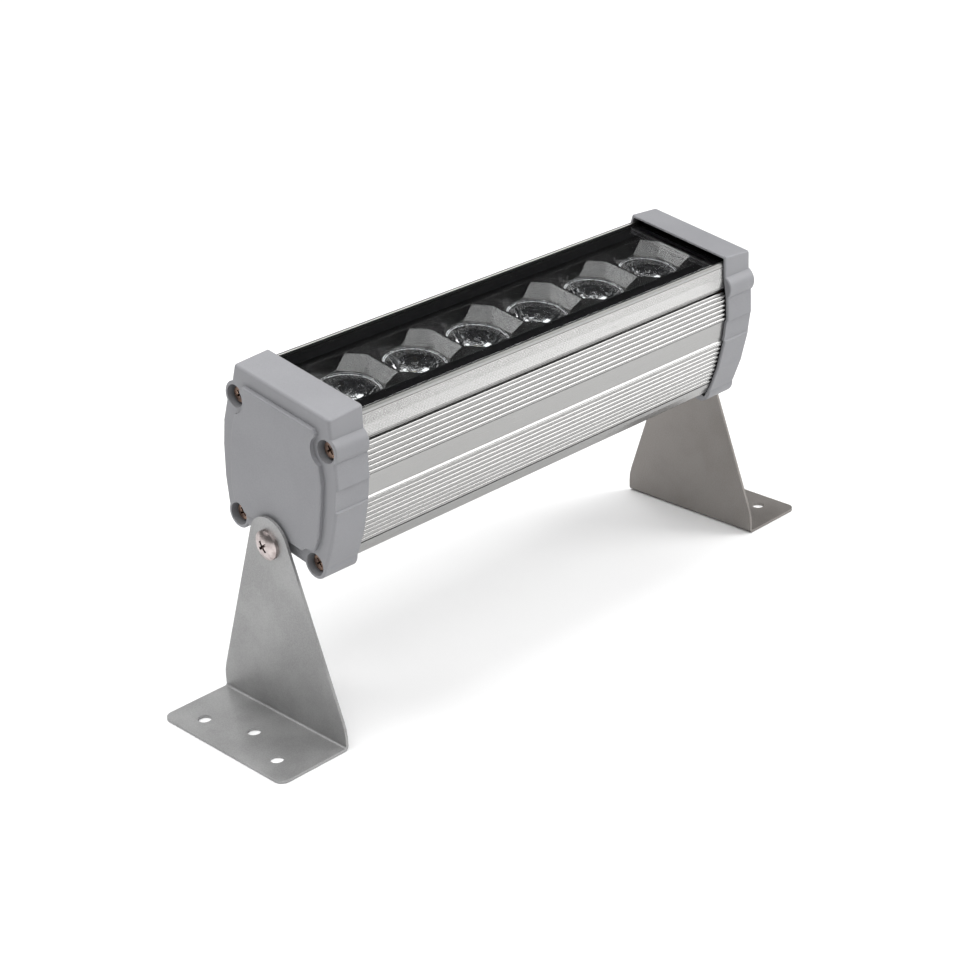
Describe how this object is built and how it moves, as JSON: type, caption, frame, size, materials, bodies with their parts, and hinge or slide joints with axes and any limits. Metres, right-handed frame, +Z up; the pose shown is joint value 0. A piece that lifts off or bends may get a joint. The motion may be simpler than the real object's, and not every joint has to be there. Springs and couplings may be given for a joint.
{
  "type": "outdoor led wall washer light",
  "caption": "Outdoor LED wall washer: ribbed aluminium housing with glass front and clear lenses between cast end caps, tilting on two sheet-metal foot brackets.",
  "frame": {"origin": "on the mounting plane under the feet, at the lamp's mid-length and straight below the tilt axis", "axes": "+X along the lamp, towards the end cap with the cable entry; +Z up, away from the mounting surface; -Y is the side that the glass leans towards at rest"},
  "size_m": [0.391, 0.0961, 0.1836],
  "materials": {
    "bracket_steel": "satin, with soft clouds",
    "cap_paint": "grey powder paint on an aluminium die casting",
    "housing_aluminium": "silver anodised extrusion",
    "rail_aluminium": "silver anodised extrusion",
    "front_glass": "clear tempered, black printed border",
    "seal_rubber": "silicone rubber",
    "tray_black": "semi-gloss black moulding",
    "lens_clear": "clear acrylic, polished",
    "holder_black": "black moulding",
    "board_white": "white solder mask",
    "led_yellow": "phosphor under silicone",
    "screw_steel": "bright plated",
    "screw_bronze": "bronze-toned plating",
    "washer_nylon": "black nylon",
    "insert_brass": "turned",
    "driver_case": "potted black case",
    "terminal_ivory": "ivory moulding",
    "gland_black": "black nylon"
  },
  "bodies": {
    "left_foot": {"left_bracket": "bracket_steel"},
    "lamp": {"housing": "housing_aluminium", "front_rail": "rail_aluminium", "back_rail": "rail_aluminium", "glass": "front_glass", "glass_seal": "seal_rubber", "lens_tray": "tray_black", "lens_1": "lens_clear", "lens_2": "lens_clear", "lens_3": "lens_clear", "lens_4": "lens_clear", "lens_5": "lens_clear", "lens_6": "lens_clear", "lens_holders": "holder_black", "led_board": "board_white", "leds": "led_yellow", "board_screws": "screw_steel", "driver": "driver_case", "terminal_block": "terminal_ivory", "left_cap": "cap_paint", "right_cap": "cap_paint", "left_cap_seal": "seal_rubber", "right_cap_seal": "seal_rubber", "left_cap_screws": "screw_bronze", "right_cap_screws": "screw_bronze", "left_pivot_screw": "screw_steel", "right_pivot_screw": "screw_steel", "left_washer": "washer_nylon", "right_washer": "washer_nylon", "left_insert": "insert_brass", "right_insert": "insert_brass", "gland_body": "gland_black", "gland_locknut": "gland_black", "gland_seal": "seal_rubber", "gland_nut": "gland_black"},
    "right_foot": {"right_bracket": "bracket_steel"}
  },
  "joints": [
    {"name": "lamp_tilt", "type": "hinge", "parent": "left_foot", "child": "lamp", "pos_m": [-0.15415, 0, 0.0963], "axis": [1, 0, 0], "range_deg": [-99.4, 80.6]},
    {"name": "right_foot_tilt", "type": "hinge", "parent": "lamp", "child": "right_foot", "pos_m": [0.15415, 0, 0.0963], "axis": [1, 0, 0], "range_deg": [-80.6, 99.4]}
  ],
  "couplings": [
    {"joint": "right_foot_tilt", "follows": "lamp_tilt", "ratio": -1}
  ]
}
